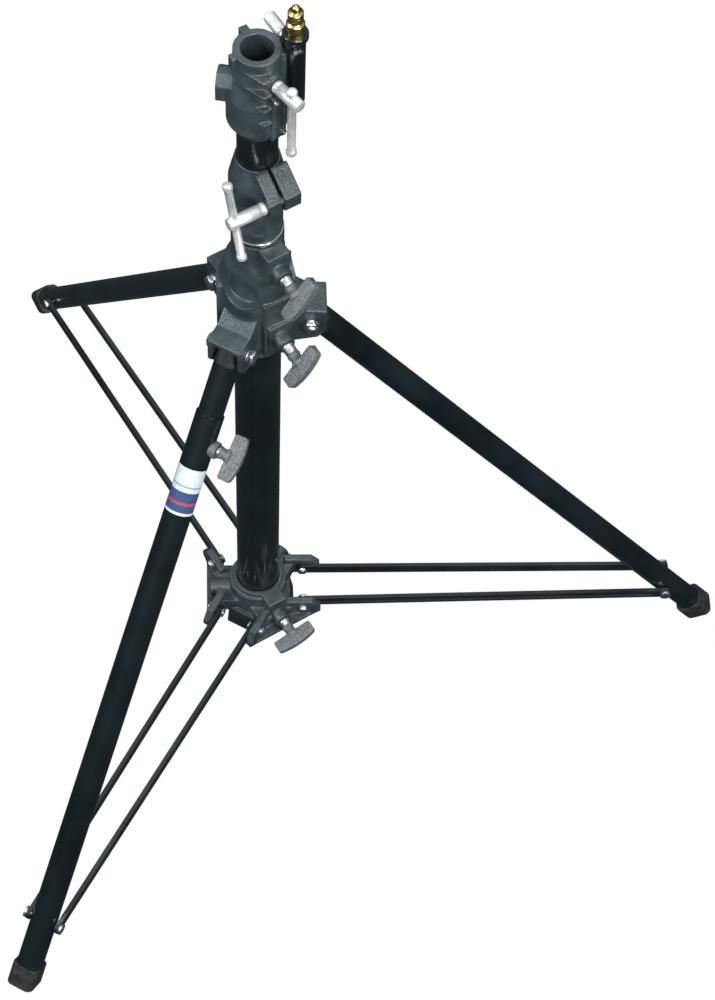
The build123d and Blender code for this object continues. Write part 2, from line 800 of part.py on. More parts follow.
def spreader_gusset():
    """The web between two yokes and the plate that closes it below."""
    low = spreader_height + spreader_low + 2
    high = spreader_height + spreader_high - spreader_gusset_drop
    reach = spreader_plate_reach
    ear_middle = spreader_ear_inner + spreader_ear / 2
    half = (reach * sin(radians(60)) - ear_middle) / cos(radians(60))
    edge = (spreader_ear_inner + 1 + half * cos(radians(60))) / sin(radians(60))
    outline = [
        (spreader_ring_radius - 2, -3),
        (edge, -half),
        (reach, -half),
        (reach, half),
        (edge, half),
        (spreader_ring_radius - 2, 3),
    ]
    plate = extrude(make_face(Polyline([(x, y, low) for x, y in outline], close=True)), spreader_plate)
    free = brace_end_radius - spreader_gusset_clear - spreader_gusset_reach * cos(radians(60))
    web_half = free / sin(radians(60))
    web = block(0, spreader_gusset_reach, -web_half, web_half, low, high)
    return plate + web


def make_spreader_casting():
    low = spreader_height + spreader_foot
    middle = spreader_height - 2
    body = rod_z(spreader_ring_radius, low, spreader_height + spreader_step_high)
    body += rod_z(spreader_step_radius, low, spreader_height + spreader_top)
    for turn in leg_turns.values():
        body += about_column(turn) * spreader_yoke()
        body += about_column(turn + 60) * spreader_gusset()
        if (turn + 60) % 360 != lock_turn % 360:
            side_boss = rod_x(spreader_boss_radius, spreader_step_radius, spreader_side_reach)
            body += about_column(turn + 60) * Pos(0, 0, middle) * side_boss
    block_top = spreader_height + spreader_top
    block_low = spreader_height + spreader_low
    half = lock_block_half - 1
    lock = block(20, spreader_lock_reach, -half, half, block_low, block_top)
    boss = rod_x(lock_boss_radius, spreader_lock_reach - 1, spreader_boss_reach)
    lock += Pos(0, 0, spreader_lock_height) * boss
    body += about_column(lock_turn) * lock
    body -= rod_z(column_radius + sliding, low - 1, block_top + 1)
    for turn in leg_turns.values():
        hole = Pos(pivot_radius, 0, spreader_height) * rod_y(brace_bolt_radius + running, -40, 40)
        body -= about_column(turn) * hole
    bore = lock_bore(0, lower_shoe_end, spreader_boss_reach)
    return body - about_column(lock_turn) * Pos(0, 0, spreader_lock_height) * bore


# ---------------------------------------------------------------- every node
def nodes():
    parts = {}
    parts["hub_casting"] = make_hub_casting()
    parts["column_tube"] = make_column_tube()
    parts["column_top_ring"] = make_column_ring()
    parts["column_end_cap"] = make_column_end_cap()
    parts["column_top_bush"] = make_column_top_bush()
    parts["riser_lock_shoe"] = lock_shoe(upper_shoe_start, upper_shoe_end, upper_lock_height)
    parts["hub_lock_shoe"] = lock_shoe(lower_shoe_start, lower_shoe_end, lower_lock_height)
    parts["leg_pivot_bolts"] = pivot_bolt_set(right_leg_turn) + pivot_bolt_set(left_leg_turn)
    parts["front_leg_pivot_bolt"] = pivot_bolt_set(level_leg_turn)

    upper = hub_knob(upper_boss_reach, upper_lock_height)
    lower = hub_knob(lower_boss_reach, lower_lock_height)
    parts["riser_lock_wing"] = upper * wing(upper_knob_stem, 52)
    tip = upper_shoe_end + apart - upper_boss_reach
    parts["riser_lock_screw"] = upper * clamp_screw(tip, upper_knob_stem)
    parts["hub_lock_wing"] = lower * wing(lower_knob_stem, 51)
    tip = lower_shoe_end + apart - lower_boss_reach
    parts["hub_lock_screw"] = lower * clamp_screw(tip, lower_knob_stem)

    parts["riser1_tube"] = tube_z(riser1_radius, riser1_bore, riser1_bottom, riser1_top)
    parts["riser1_foot_bush"] = foot_bush(column_bore - running, riser1_bore - running, riser1_bottom)
    bush_low = riser1_top - top_bush_height
    parts["riser1_top_bush"] = tube_z(riser1_bore - running, riser2_radius + running, bush_low, riser1_top)
    parts["collar_casting"] = make_collar_casting()
    sleeve_start = collar_ear_left + apart
    bar_at = sleeve_start + collar_handle_length - sleeve_start - 7
    thread_start = -(collar_ear_right - 4)
    collar_screw = handle_screw(thread_start, sleeve_start, collar_handle_length, bar_at)
    parts["collar_screw"] = collar_handle() * collar_screw
    parts["collar_tommy_bar"] = collar_handle() * Pos(bar_at, 0, 0) * handle_bar(0)

    plug = riser2_bore - running
    parts["riser2_foot_bush"] = foot_bush(riser1_bore - running, plug, riser2_bottom - apart)
    parts["riser2_tube"] = tube_z(riser2_radius, riser2_bore, riser2_bottom, riser2_top)
    parts["head_casting"] = make_head_casting()
    head_bar_at = head_handle_end - 10.5
    thread_start = socket_radius + apart
    head_screw = handle_screw(thread_start, head_handle_start, head_handle_end, head_bar_at)
    parts["head_screw"] = head_handle() * head_screw
    parts["head_tommy_bar"] = head_handle() * Pos(head_bar_at, 0, 0) * handle_bar(-handle_bar_travel)
    parts["head_set_screws"] = make_head_set_screws()
    parts["side_tube"] = make_side_tube()
    parts["side_tube_ring"] = make_side_ring()
    parts["side_tube_rivets"] = make_side_rivets()
    parts["spigot"] = make_spigot()
    parts["spigot_screw"] = make_spigot_screw()

    for name in ("right", "left"):
        place = along_leg(leg_turns[name])
        parts[f"{name}_leg_tube"] = place * make_leg_tube(leg_radius, leg_wall, leg_cap, leg_end)
        parts[f"{name}_leg_cap"] = place * make_leg_cap(leg_radius, leg_wall)
        parts[f"{name}_foot"] = make_foot(leg_turns[name], leg_radius)
    place = along_leg(level_leg_turn)
    inner_tube = make_leg_tube(level_inner_radius, leg_wall, leg_cap, level_inner_end)
    parts["front_leg_inner_tube"] = place * inner_tube
    parts["front_leg_cap"] = place * make_leg_cap(level_inner_radius, leg_wall)
    parts["front_leg_outer_tube"] = place * make_level_outer_tube()
    parts["front_foot"] = make_foot(level_leg_turn, level_outer_radius)
    parts["level_lock_boss"] = place * make_level_boss()
    parts["leg_label"] = place * make_leg_label()
    tip = level_inner_radius + apart - level_boss_reach
    parts["level_lock_wing"] = level_knob() * wing(level_knob_stem, 69)
    parts["level_lock_screw"] = level_knob() * clamp_screw(tip, level_knob_stem)

    for name, turn in leg_turns.items():
        parts[f"{name}_brace_near"] = make_brace(turn, -1)
        parts[f"{name}_brace_far"] = make_brace(turn, 1)
        parts[f"{name}_brace_leg_bolt"] = make_brace_stubs(turn)
    parts["spreader_casting"] = make_spreader_casting()
    parts["spreader_bolts"] = make_spreader_bolts(right_leg_turn) + make_spreader_bolts(left_leg_turn)
    parts["front_spreader_bolts"] = make_spreader_bolts(level_leg_turn)
    parts["spreader_lock_shoe"] = lock_shoe(lower_shoe_start, lower_shoe_end, spreader_lock_height)
    parts["spreader_lock_wing"] = spreader_knob() * wing(spreader_knob_stem, 14)
    tip = lower_shoe_end + apart - spreader_boss_reach
    parts["spreader_lock_screw"] = spreader_knob() * clamp_screw(tip, spreader_knob_stem)
    return parts


os.makedirs("parts", exist_ok=True)
for node, shape in nodes().items():
    solids = []
    for piece in shape if isinstance(shape, list) else [shape]:
        solids += piece.solids()
    export_step(Compound(children=solids), f"parts/{node}.step")
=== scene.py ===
"""Looks of the folding lighting stand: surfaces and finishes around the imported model, in metres."""
import json
from math import cos, degrees, pi, radians, sin

import bmesh
import bpy
import numpy as np
from mathutils import Matrix, Vector

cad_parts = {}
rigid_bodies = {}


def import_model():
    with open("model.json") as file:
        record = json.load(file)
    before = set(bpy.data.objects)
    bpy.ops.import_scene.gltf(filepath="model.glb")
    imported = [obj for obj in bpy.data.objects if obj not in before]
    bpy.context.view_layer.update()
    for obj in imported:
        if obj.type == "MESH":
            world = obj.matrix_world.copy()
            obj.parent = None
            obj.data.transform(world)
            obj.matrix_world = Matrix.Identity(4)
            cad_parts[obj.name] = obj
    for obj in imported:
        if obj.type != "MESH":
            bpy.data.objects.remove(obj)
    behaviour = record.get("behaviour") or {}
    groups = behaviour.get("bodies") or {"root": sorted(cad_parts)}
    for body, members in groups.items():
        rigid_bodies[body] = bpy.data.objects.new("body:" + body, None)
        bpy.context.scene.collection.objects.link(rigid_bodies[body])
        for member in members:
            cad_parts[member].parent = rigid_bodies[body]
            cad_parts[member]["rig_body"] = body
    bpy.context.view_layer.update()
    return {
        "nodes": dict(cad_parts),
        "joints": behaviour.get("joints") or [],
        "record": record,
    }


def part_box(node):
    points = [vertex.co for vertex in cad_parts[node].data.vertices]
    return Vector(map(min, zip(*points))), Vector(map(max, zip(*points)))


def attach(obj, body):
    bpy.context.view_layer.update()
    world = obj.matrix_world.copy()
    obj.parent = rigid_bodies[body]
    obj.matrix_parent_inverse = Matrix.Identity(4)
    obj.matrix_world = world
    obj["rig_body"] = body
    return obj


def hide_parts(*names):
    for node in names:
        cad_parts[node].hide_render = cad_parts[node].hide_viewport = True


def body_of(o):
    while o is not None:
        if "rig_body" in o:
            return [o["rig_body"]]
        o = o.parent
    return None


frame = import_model()
mm = 0.001
joints = {joint["name"]: joint for joint in frame["joints"]}
turns = {"front": radians(-90), "right": radians(30), "left": radians(150)}


# ---------------------------------------------------------------- frames and surfaces
def frame_at(place, x_axis, z_axis):
    """A 4x4 matrix whose X and Z axes point the given ways, with its origin at place."""
    z = Vector(z_axis).normalized()
    y = z.cross(Vector(x_axis)).normalized()
    x = y.cross(z)
    turned = Matrix((x, y, z)).transposed().to_4x4()
    return Matrix.Translation(Vector(place)) @ turned


def joint_place(name):
    return Vector(joints[name]["pos_m"])


def joint_axis(name):
    return Vector(joints[name]["axis"])


def make_mesh(name, points, faces, matrix=Matrix.Identity(4), smooth=True):
    """A mesh object from an array of points in millimetres, put in place by a matrix."""
    points = np.asarray(points, float).reshape(-1, 3) * mm
    turned = points @ np.array(matrix.to_3x3()).T + np.array(matrix.translation)
    mesh = bpy.data.meshes.new(name)
    mesh.from_pydata(turned.tolist(), [], [tuple(int(i) for i in face) for face in faces])
    mesh.polygons.foreach_set("use_smooth", [smooth] * len(mesh.polygons))
    mesh.update()
    piece = bpy.data.objects.new(name, mesh)
    bpy.context.scene.collection.objects.link(piece)
    return piece


def grid_faces(rows, columns, start=0):
    """Quads of a grid whose columns close on themselves, as an array of point numbers."""
    row, column = np.meshgrid(np.arange(rows - 1), np.arange(columns), indexing="ij")
    following = (column + 1) % columns
    quads = [row * columns + column, row * columns + following]
    quads += [(row + 1) * columns + following, (row + 1) * columns + column]
    return np.stack(quads, -1).reshape(-1, 4) + start


def closed_tube(rings):
    """Points and faces of a stack of closed rings with both ends capped by a centre point."""
    rows, columns = rings.shape[:2]
    points = np.vstack([rings.reshape(-1, 3), rings[0].mean(0), rings[-1].mean(0)])
    faces = [tuple(face) for face in grid_faces(rows, columns)]
    low, high = rows * columns, rows * columns + 1
    for i in range(columns):
        j = (i + 1) % columns
        faces.append((low, j, i))
        faces.append((high, (rows - 1) * columns + i, (rows - 1) * columns + j))
    return points, faces


def turned_rings(profile, count=48):
    """A profile of (radius, height) turned about Z: point = (r cos t, r sin t, h)."""
    radius, height = np.array(profile, float).T
    turn = np.linspace(0, 2 * pi, count, endpoint=False)
    x = radius[:, None] * np.cos(turn)
    y = radius[:, None] * np.sin(turn)
    z = np.repeat(height[:, None], count, 1)
    return np.stack([x, y, z], -1)


def turned_piece(name, profile, matrix, count=48):
    points, faces = closed_tube(turned_rings(profile, count))
    return make_mesh(name, points, faces, matrix)


# ---------------------------------------------------------------- materials
def linear(hex_colour):
    """An sRGB hex colour as linear red, green, blue and alpha."""
    channels = [int(hex_colour[i : i + 2], 16) / 255 for i in (1, 3, 5)]
    return [c / 12.92 if c <= 0.04045 else ((c + 0.055) / 1.055) ** 2.4 for c in channels] + [1.0]


def add_node(tree, kind, inputs=None, **settings):
    """Adds a node: settings are its properties, inputs its sockets' values or what feeds them."""
    node = tree.nodes.new(kind)
    for name, value in settings.items():
        setattr(node, name, value)
    for name, value in (inputs or {}).items():
        socket = node.inputs[name]
        if isinstance(value, bpy.types.NodeSocket):
            tree.links.new(value, socket)
        else:
            socket.default_value = value
    return node


def new_material(name, **surface):
    """A material with a principled surface, its sockets set from the values given."""
    material = bpy.data.materials.new(name)
    material.use_nodes = True
    tree = material.node_tree
    shader = tree.nodes["Principled BSDF"]
    for socket, value in surface.items():
        shader.inputs[socket.replace("_", " ")].default_value = value
    place = add_node(tree, "ShaderNodeTexCoord").outputs["Object"]
    return material, tree, shader, place


def colour_ramp(tree, factor, stops):
    """A ramp from a factor to colours: stops are (position, hex colour)."""
    ramp = add_node(tree, "ShaderNodeValToRGB", {"Fac": factor})
    for i, (position, colour) in enumerate(stops):
        stop = ramp.color_ramp.elements[i] if i < 2 else ramp.color_ramp.elements.new(position)
        stop.position = position
        stop.color = linear(colour)
    return ramp.outputs["Color"]


def spread(tree, factor, low, high):
    """A 0 to 1 factor stretched to the range low to high."""
    inputs = {"Value": factor, "To Min": low, "To Max": high}
    return add_node(tree, "ShaderNodeMapRange", inputs).outputs["Result"]


def noise(tree, place, grain, detail=3.0, rough=0.5):
    """Noise whose grains are so many metres across."""
    inputs = {"Vector": place, "Scale": 1 / grain, "Detail": detail, "Roughness": rough}
    return add_node(tree, "ShaderNodeTexNoise", inputs).outputs["Fac"]


def bump(tree, shader, height, depth, strength=1.0):
    inputs = {"Height": height, "Distance": depth, "Strength": strength}
    node = add_node(tree, "ShaderNodeBump", inputs)
    tree.links.new(node.outputs["Normal"], shader.inputs["Normal"])
    return node


def crinkle_powder_coat():
    """Black powder coat baked to a crinkle on cast aluminium: a pebbled, half-gloss black."""
    material, tree, shader, place = new_material("crinkle_powder_coat", IOR=1.5)
    pebbles = noise(tree, place, 1.4 * mm, 4.0, 0.55)
    drift = noise(tree, place, 22 * mm, 2.0)
    colour = colour_ramp(tree, drift, [(0.3, "#22292c"), (0.7, "#3a4347")])
    tree.links.new(colour, shader.inputs["Base Color"])
    tree.links.new(spread(tree, pebbles, 0.2, 0.4), shader.inputs["Roughness"])
    bump(tree, shader, pebbles, 0.6 * mm, 0.8)
    return material


def stoved_enamel(name, rough_low, rough_high, dark, light):
    """Black stoved enamel on drawn steel tube: smooth, with a faint orange peel and dust."""
    material, tree, shader, place = new_material(name, IOR=1.52)
    peel = noise(tree, place, 5 * mm, 1.0)
    drift = noise(tree, place, 60 * mm, 3.0)
    tree.links.new(colour_ramp(tree, drift, [(0.3, dark), (0.7, light)]), shader.inputs["Base Color"])
    tree.links.new(spread(tree, drift, rough_low, rough_high), shader.inputs["Roughness"])
    bump(tree, shader, peel, 0.05 * mm, 0.35)
    return material


def polished_chrome():
    """Decorative chrome plate: a mirror with hair-fine turning marks."""
    surface = dict(Metallic=1.0, Base_Color=linear("#d9dadb"))
    material, tree, shader, place = new_material("polished_chrome", **surface)
    marks = noise(tree, place, 0.8 * mm, 2.0)
    tree.links.new(spread(tree, marks, 0.08, 0.2), shader.inputs["Roughness"])
    return material


def nickel_plate():
    """Satin nickel on a turned steel handle: bright, a little warm, softly brushed."""
    material, tree, shader, place = new_material("nickel_plate", Metallic=0.7)
    drift = noise(tree, place, 9 * mm, 3.0)
    colour = colour_ramp(tree, drift, [(0.3, "#dcdbd8"), (0.7, "#f6f5f3")])
    tree.links.new(colour, shader.inputs["Base Color"])
    tree.links.new(spread(tree, drift, 0.2, 0.36), shader.inputs["Roughness"])
    bump(tree, shader, noise(tree, place, 0.9 * mm, 2.0), 0.04 * mm, 0.4)
    return material


def zinc_plate():
    """Bright zinc on steel bolts and screws: grey, slightly mottled."""
    material, tree, shader, place = new_material("zinc_plate", Metallic=1.0)
    mottle = noise(tree, place, 4 * mm, 3.0)
    colour = colour_ramp(tree, mottle, [(0.3, "#a9abae"), (0.7, "#d8dadc")])
    tree.links.new(colour, shader.inputs["Base Color"])
    tree.links.new(spread(tree, mottle, 0.24, 0.42), shader.inputs["Roughness"])
    return material


def turned_brass():
    """Lathe-turned brass: warm yellow with fine rings round its axis and darker tarnish."""
    material, tree, shader, place = new_material("turned_brass", Metallic=1.0)
    tarnish = noise(tree, place, 6 * mm, 3.0)
    colour = colour_ramp(tree, tarnish, [(0.3, "#c79a45"), (0.65, "#f2d58c")])
    tree.links.new(colour, shader.inputs["Base Color"])
    tree.links.new(spread(tree, tarnish, 0.16, 0.34), shader.inputs["Roughness"])
    inputs = {"Vector": place, "Scale": 1 / (1.6 * mm) / 20}
    rings = add_node(tree, "ShaderNodeTexWave", inputs, wave_type="BANDS", bands_direction="Z")
    bump(tree, shader, rings.outputs["Fac"], 0.05 * mm, 0.5)
    return material


def grained_nylon():
    """Glass-filled nylon moulded against a leather-grain tool: dark grey, dull, pebbled, with painted
    highlight on the raised pebbles and painted shade in the hollows between them.
    """
    material, tree, shader, place = new_material("grained_nylon", IOR=1.5)
    inputs = {"Vector": place, "Scale": 1 / (1.5 * mm)}
    cells = add_node(tree, "ShaderNodeTexVoronoi", inputs, feature="SMOOTH_F1").outputs["Distance"]
    # colour follows the grain's height: painted highlight on the raised pebble tops, painted shade in the
    # sunken hollows
    colour = colour_ramp(tree, cells, [(0.1, "#63676a"), (0.8, "#26292b")])
    tree.links.new(colour, shader.inputs["Base Color"])
    tree.links.new(spread(tree, cells, 0.4, 0.62), shader.inputs["Roughness"])
    bump(tree, shader, cells, -0.35 * mm, 0.7)
    return material


def moulded_plastic(name, dark, light):
    """Smooth injection-moulded plastic with a slight haze."""
    material, tree, shader, place = new_material(name, IOR=1.49)
    haze = noise(tree, place, 3 * mm, 3.0)
    tree.links.new(colour_ramp(tree, haze, [(0.3, dark), (0.7, light)]), shader.inputs["Base Color"])
    tree.links.new(spread(tree, haze, 0.32, 0.5), shader.inputs["Roughness"])
    bump(tree, shader, haze, 0.05 * mm, 0.4)
    return material


def printed_label():
    """Gloss paper print, wrapped round the leg: plain blocks of white, blue and red, no lettering."""
    material, tree, shader, place = new_material("gloss_paper_print", IOR=1.5, Roughness=0.3)
    print_place = add_node(tree, "ShaderNodeUVMap", uv_map="print").outputs["UV"]
    along = add_node(tree, "ShaderNodeSeparateXYZ", {"Vector": print_place})
    stops = [(0.0, "#c3c9ce"), (0.36, "#8d979f"), (0.4, "#c3c9ce"), (0.5, "#3a4a72"), (0.72, "#a8474a")]
    stops += [(0.78, "#3a4a72"), (0.94, "#c3c9ce")]
    blocks = colour_ramp(tree, along.outputs["Y"], stops)
    blocks.node.color_ramp.interpolation = "CONSTANT"
    wear = noise(tree, place, 2.5 * mm, 3.0)
    paper = colour_ramp(tree, wear, [(0.3, "#d9dbdd"), (0.6, "#f4f5f6")])
    inputs = {"Fac": 1.0, "Color1": blocks, "Color2": paper}
    mixed = add_node(tree, "ShaderNodeMixRGB", inputs, blend_type="MULTIPLY")
    tree.links.new(mixed.outputs["Color"], shader.inputs["Base Color"])
    return material


def moulded_rubber():
    """Black rubber, moulded: dull, faintly dusty, with a fine grain."""
    material, tree, shader, place = new_material("moulded_rubber", IOR=1.5)
    dust = noise(tree, place, 8 * mm, 4.0, 0.6)
    colour = colour_ramp(tree, dust, [(0.35, "#111213"), (0.75, "#2a2a2a")])
    tree.links.new(colour, shader.inputs["Base Color"])
    tree.links.new(spread(tree, dust, 0.45, 0.7), shader.inputs["Roughness"])
    bump(tree, shader, noise(tree, place, 0.8 * mm, 2.0), 0.08 * mm, 0.5)
    return material


finishes = {
    "black_casting": crinkle_powder_coat(),
    "black_tube": stoved_enamel("stoved_gloss_enamel", 0.1, 0.18, "#0b1012", "#141b1e"),
    "chrome_ring": polished_chrome(),
    "black_plastic": moulded_plastic("moulded_black_plastic", "#0f1011", "#1b1c1d"),
    "shoe_plastic": moulded_plastic("moulded_pale_plastic", "#b9b5a8", "#cfcbbf"),
    "steel_bolts": zinc_plate(),
    "bright_handle": nickel_plate(),
    "brass_pin": turned_brass(),
    "knob_plastic": grained_nylon(),
    "foot_rubber": moulded_rubber(),
    "brace_paint": stoved_enamel("stoved_satin_enamel", 0.2, 0.32, "#0d1214", "#1b2226"),
    "label_print": printed_label(),
}


def finish_nodes():
    """Gives every carried-over node the finish of its slot."""
    for entry in frame["record"]["subparts"]:
        node = frame["nodes"][entry["node"]]
        node.data.materials.clear()
        node.data.materials.append(finishes[entry["material_slot"]])


finish_nodes()


# ---------------------------------------------------------------- pieces that take the place of CAD nodes
slots = {entry["node"]: entry["material_slot"] for entry in frame["record"]["subparts"]}


def place_piece(piece, *nodes):
    """Gives a piece its node's body and finish, and lets it stand for the nodes named."""
    if not piece.data.materials:
        piece.data.materials.append(finishes[slots[nodes[0]]])
    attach(piece, body_of(frame["nodes"][nodes[0]])[0])
    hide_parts(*nodes)


def relax(mesh, passes):
    """Moves every point half-way to the mean of its neighbours, several times: p += (mean - p) / 2."""
    count = len(mesh.vertices)
    points = np.empty(count * 3)
    mesh.vertices.foreach_get("co", points)
    points = points.reshape(-1, 3)
    ends = np.empty(len(mesh.edges) * 2, dtype=int)
    mesh.edges.foreach_get("vertices", ends)
    first, second = ends.reshape(-1, 2).T
    shares = np.bincount(first, minlength=count) + np.bincount(second, minlength=count)
    for _ in range(passes):
        total = np.zeros_like(points)
        for axis in range(3):
            total[:, axis] += np.bincount(first, points[second, axis], minlength=count)
            total[:, axis] += np.bincount(second, points[first, axis], minlength=count)
        points += (total / np.maximum(shares, 1)[:, None] - points) * 0.5
    mesh.vertices.foreach_set("co", points.ravel())
    mesh.update()


def softened(node, grain, passes):
    """A CAD node remeshed in grains of so many millimetres, with its edges rounded as cast ones are."""
    mesh = frame["nodes"][node].data.copy()
    shell = bmesh.new()
    shell.from_mesh(mesh)
    bmesh.ops.remove_doubles(shell, verts=shell.verts, dist=0.002 * mm)
    shell.to_mesh(mesh)
    shell.free()
    mesh.materials.clear()
    piece = bpy.data.objects.new(node + "_cast", mesh)
    bpy.context.scene.collection.objects.link(piece)
    mesh.remesh_voxel_size = grain * mm
    mesh.remesh_voxel_adaptivity = 0.0
    with bpy.context.temp_override(object=piece, active_object=piece, selected_objects=[piece]):
        bpy.ops.object.voxel_remesh()
    relax(piece.data, passes)
    piece.data.polygons.foreach_set("use_smooth", [True] * len(piece.data.polygons))
    place_piece(piece, node)
    return piece


def joined(parts):
    """Several (points, faces) pairs as one."""
    points, faces, start = [], [], 0
    for some_points, some_faces in parts:
        points.append(some_points)
        faces += [tuple(int(i) + start for i in face) for face in some_faces]
        start += len(some_points)
    return np.vstack(points), faces


def turned_onto(points, matrix):
    """Points in millimetres carried by a matrix whose own move is in metres."""
    return points @ np.array(matrix.to_3x3()).T + np.array(matrix.translation) / mm


def wing_rings(half, start, end, crown, thick, edge):
    """The wing's outline shrunk in towards both faces so that its edges are round.

    At height z the outline is moved in by d = edge (1 - sqrt(1 - t^2)), t = how far z is into the edge.
    """
    rings = []
    for height in (-1.0, -0.98, -0.93, -0.86, -0.78, -0.69, 0.0, 0.69, 0.78, 0.86, 0.93, 0.98, 1.0):
        into = min(max((abs(height) * thick / 2 - (thick / 2 - edge)) / edge, 0.0), 1.0)
        inset = edge * (1 - (1 - into**2) ** 0.5)
        across = np.linspace(-1, 1, 33)
        y = across * (half - inset)
        corner = np.clip((np.abs(across) - 0.9) / 0.1, 0, 1) ** 2 * 1.4
        flat = np.full(33, height * thick / 2)
        outer = np.stack([end - inset + crown * (1 - across**2) - corner, y, flat], -1)
        inner = np.stack([start + inset + corner, y, flat], -1)
        rings.append(np.vstack([outer, inner[::-1]]))
    return np.array(rings)


wing_half = 23.0
wing_depth = 13.0


def make_knob(name, stem, tip, tilt, up):
    """A wing on its neck, and the steel screw whose shouldered sleeve shows beside the boss."""
    matrix = frame_at(joint_place(name + "_turn"), up, joint_axis(name + "_turn"))
    plate, plate_faces = closed_tube(wing_rings(wing_half, stem, stem + wing_depth, 3.0, 8.5, 1.2))
    plate = plate @ np.array(Matrix.Rotation(radians(tilt), 3, "X")).T
    # X of the wing's drawing is the screw's own axis, which is Z here
    plate = np.stack([-plate[:, 2], plate[:, 1], plate[:, 0]], -1)
    profile = [(4.3, stem - 9), (6.2, stem - 9), (6.6, stem - 8.2), (5.6, stem - 4.5), (5.8, stem - 2)]
    profile += [(7.6, stem + 1), (8.0, stem + 3.5), (3, stem + 4.5)]
    neck = closed_tube(turned_rings(profile, 40))
    points, faces = joined([(plate, plate_faces), neck])
    place_piece(make_mesh(name + "_moulding", points, faces, matrix), name + "_wing")
    profile = [(2.6, tip), (3.9, tip + 1.3), (3.9, 0.4), (6.1, 0.4), (6.5, 0.8), (6.5, 3.0), (6.0, 3.5)]
    profile += [(6.0, stem - 9.7), (5.5, stem - 9.2), (3.9, stem - 9.2), (3.9, stem + 4)]
    place_piece(turned_piece(name + "_steel", profile, matrix), name + "_screw")


up = (0, 0, 1)
make_knob("riser_lock", 19.5, -20.3, 52, up)
make_knob("hub_lock", 20.0, -25.7, 51, up)
make_knob("spreader_lock", 17.0, -26.7, 14, up)
make_knob("level_lock", 10.5, -5.5, 69, joint_axis("level_slide"))

for casting, grain, passes in (("hub_casting", 1.15, 3), ("collar_casting", 0.9, 3)):
    softened(casting, grain, passes)
softened("head_casting", 0.75, 3)
softened("spreader_casting", 0.9, 3)
for side in turns:
    softened(side + "_foot", 0.6, 4)
    softened(side + "_leg_cap", 0.8, 2)


# ---------------------------------------------------------------- screws, bars, bolts and the spigot
def hexagon_rings(across_flats, low, high, chamfer=1.0):
    """A bolt head: six flats whose top corners are turned away by a chamfer cone.

    The distance to a flat at turn t is (a / 2) / cos(t - nearest flat), and the chamfer limits it.
    """
    turn = np.linspace(0, 2 * pi, 48, endpoint=False)
    nearest = (turn + pi / 6) % (pi / 3) - pi / 6
    hexagon = across_flats / 2 / np.cos(nearest)
    rings = []
    for height, most in ((low, 99), (high - chamfer, across_flats * 0.57), (high, across_flats * 0.47)):
        reach = np.minimum(hexagon, most)
        rings.append(np.stack([reach * np.cos(turn), reach * np.sin(turn), np.full(48, height)], -1))
    return np.array(rings)


def washer_rings(inner, outer, low, high):
    edge = min(0.3, (high - low) / 3)
    profile = [(inner, low), (outer - edge, low), (outer, low + edge), (outer, high - edge)]
    return turned_rings(profile + [(outer - edge, high), (inner, high)], 40)


def bolt_parts(face, head_end, across, washer, shank):
    """Washer and head of a bolt lying along Z, from its middle to the head's end; the shank is drawn by the
    caller.
    """
    parts = [closed_tube(washer_rings(shank, washer, face, face + 1.2))]
    parts.append(closed_tube(hexagon_rings(across, face + 1.2, head_end)))
    return parts


def mirrored(parts):
    """The same parts on the other side of the middle, with their faces turned to look outwards."""
    flip = np.array([1, 1, -1])
    return [(points * flip, [face[::-1] for face in faces]) for points, faces in parts]


def bolt_pair(place, axis, side_axis, face, end, across, washer, shank):
    """A bolt through an arm: a head at one end, a nut with the thread's end beyond it at the other."""
    matrix = frame_at(place, side_axis, axis)
    head = bolt_parts(face, end, across, washer, shank)
    nut = mirrored(bolt_parts(face - 1.2, end - 1.4, across, washer, shank))
    middle = [closed_tube(turned_rings([(shank, -end), (shank, face + 1.4)], 32))]
    points, faces = joined(head + nut + middle)
    return turned_onto(points, matrix), faces


def make_pivot_bolts():
    """The bolts the legs fold about: two on the hub's own node and one for the levelling leg."""
    sets = {"leg_pivot_bolts": ("right", "left"), "front_leg_pivot_bolt": ("front",)}
    for node, sides in sets.items():
        parts = []
        for side in sides:
            joint = side + "_leg_fold"
            place, axis = joint_place(joint), joint_axis(joint)
            parts.append(bolt_pair(place, axis, up, 17.8, 24.8, 15, 8.6, 5))
        points, faces = joined(parts)
        place_piece(make_mesh(node + "_turned", points, faces), node)


def make_brace_bolts():
    """Each spreader ear's screw and its nut behind the brace, and the headed stubs at the legs."""
    sets = {"spreader_bolts": ("right", "left"), "front_spreader_bolts": ("front",)}
    for node, sides in sets.items():
        parts = []
        for side in sides:
            joint = side + "_brace_fold"
            matrix = frame_at(joint_place(joint), up, joint_axis(joint))
            bolt = bolt_parts(31.0, 34.7, 10, 6.4, 3)
            bolt.append(closed_tube(hexagon_rings(10, 15.7, 18.1, 0.6)))
            bolt.append(closed_tube(turned_rings([(3, 15.1), (3, 31.2)], 32)))
            points, faces = joined(bolt + mirrored(bolt))
            parts.append((turned_onto(points, matrix), faces))
        points, faces = joined(parts)
        place_piece(make_mesh(node + "_turned", points, faces), node)


make_pivot_bolts()
make_brace_bolts()


def ring_of(radius, edge, low, high, inner):
    """The profile of a ring with rounded outer edges, from its bore round and back."""
    turn = np.linspace(0, pi / 2, 5)
    lower = [(radius - edge + edge * sin(t), low + edge - edge * cos(t)) for t in turn]
    upper = [(radius - edge + edge * cos(t), high - edge + edge * sin(t)) for t in turn]
    return [(inner, high - 0.5), (inner, low)] + lower + upper + [(inner + 0.5, high)]


def open_ring(name, profile, matrix, count=96):
    """A profile that closes on itself, turned about Z."""
    rings = turned_rings(profile + [profile[0]], count)
    return make_mesh(name, rings.reshape(-1, 3), grid_faces(len(profile) + 1, count), matrix)


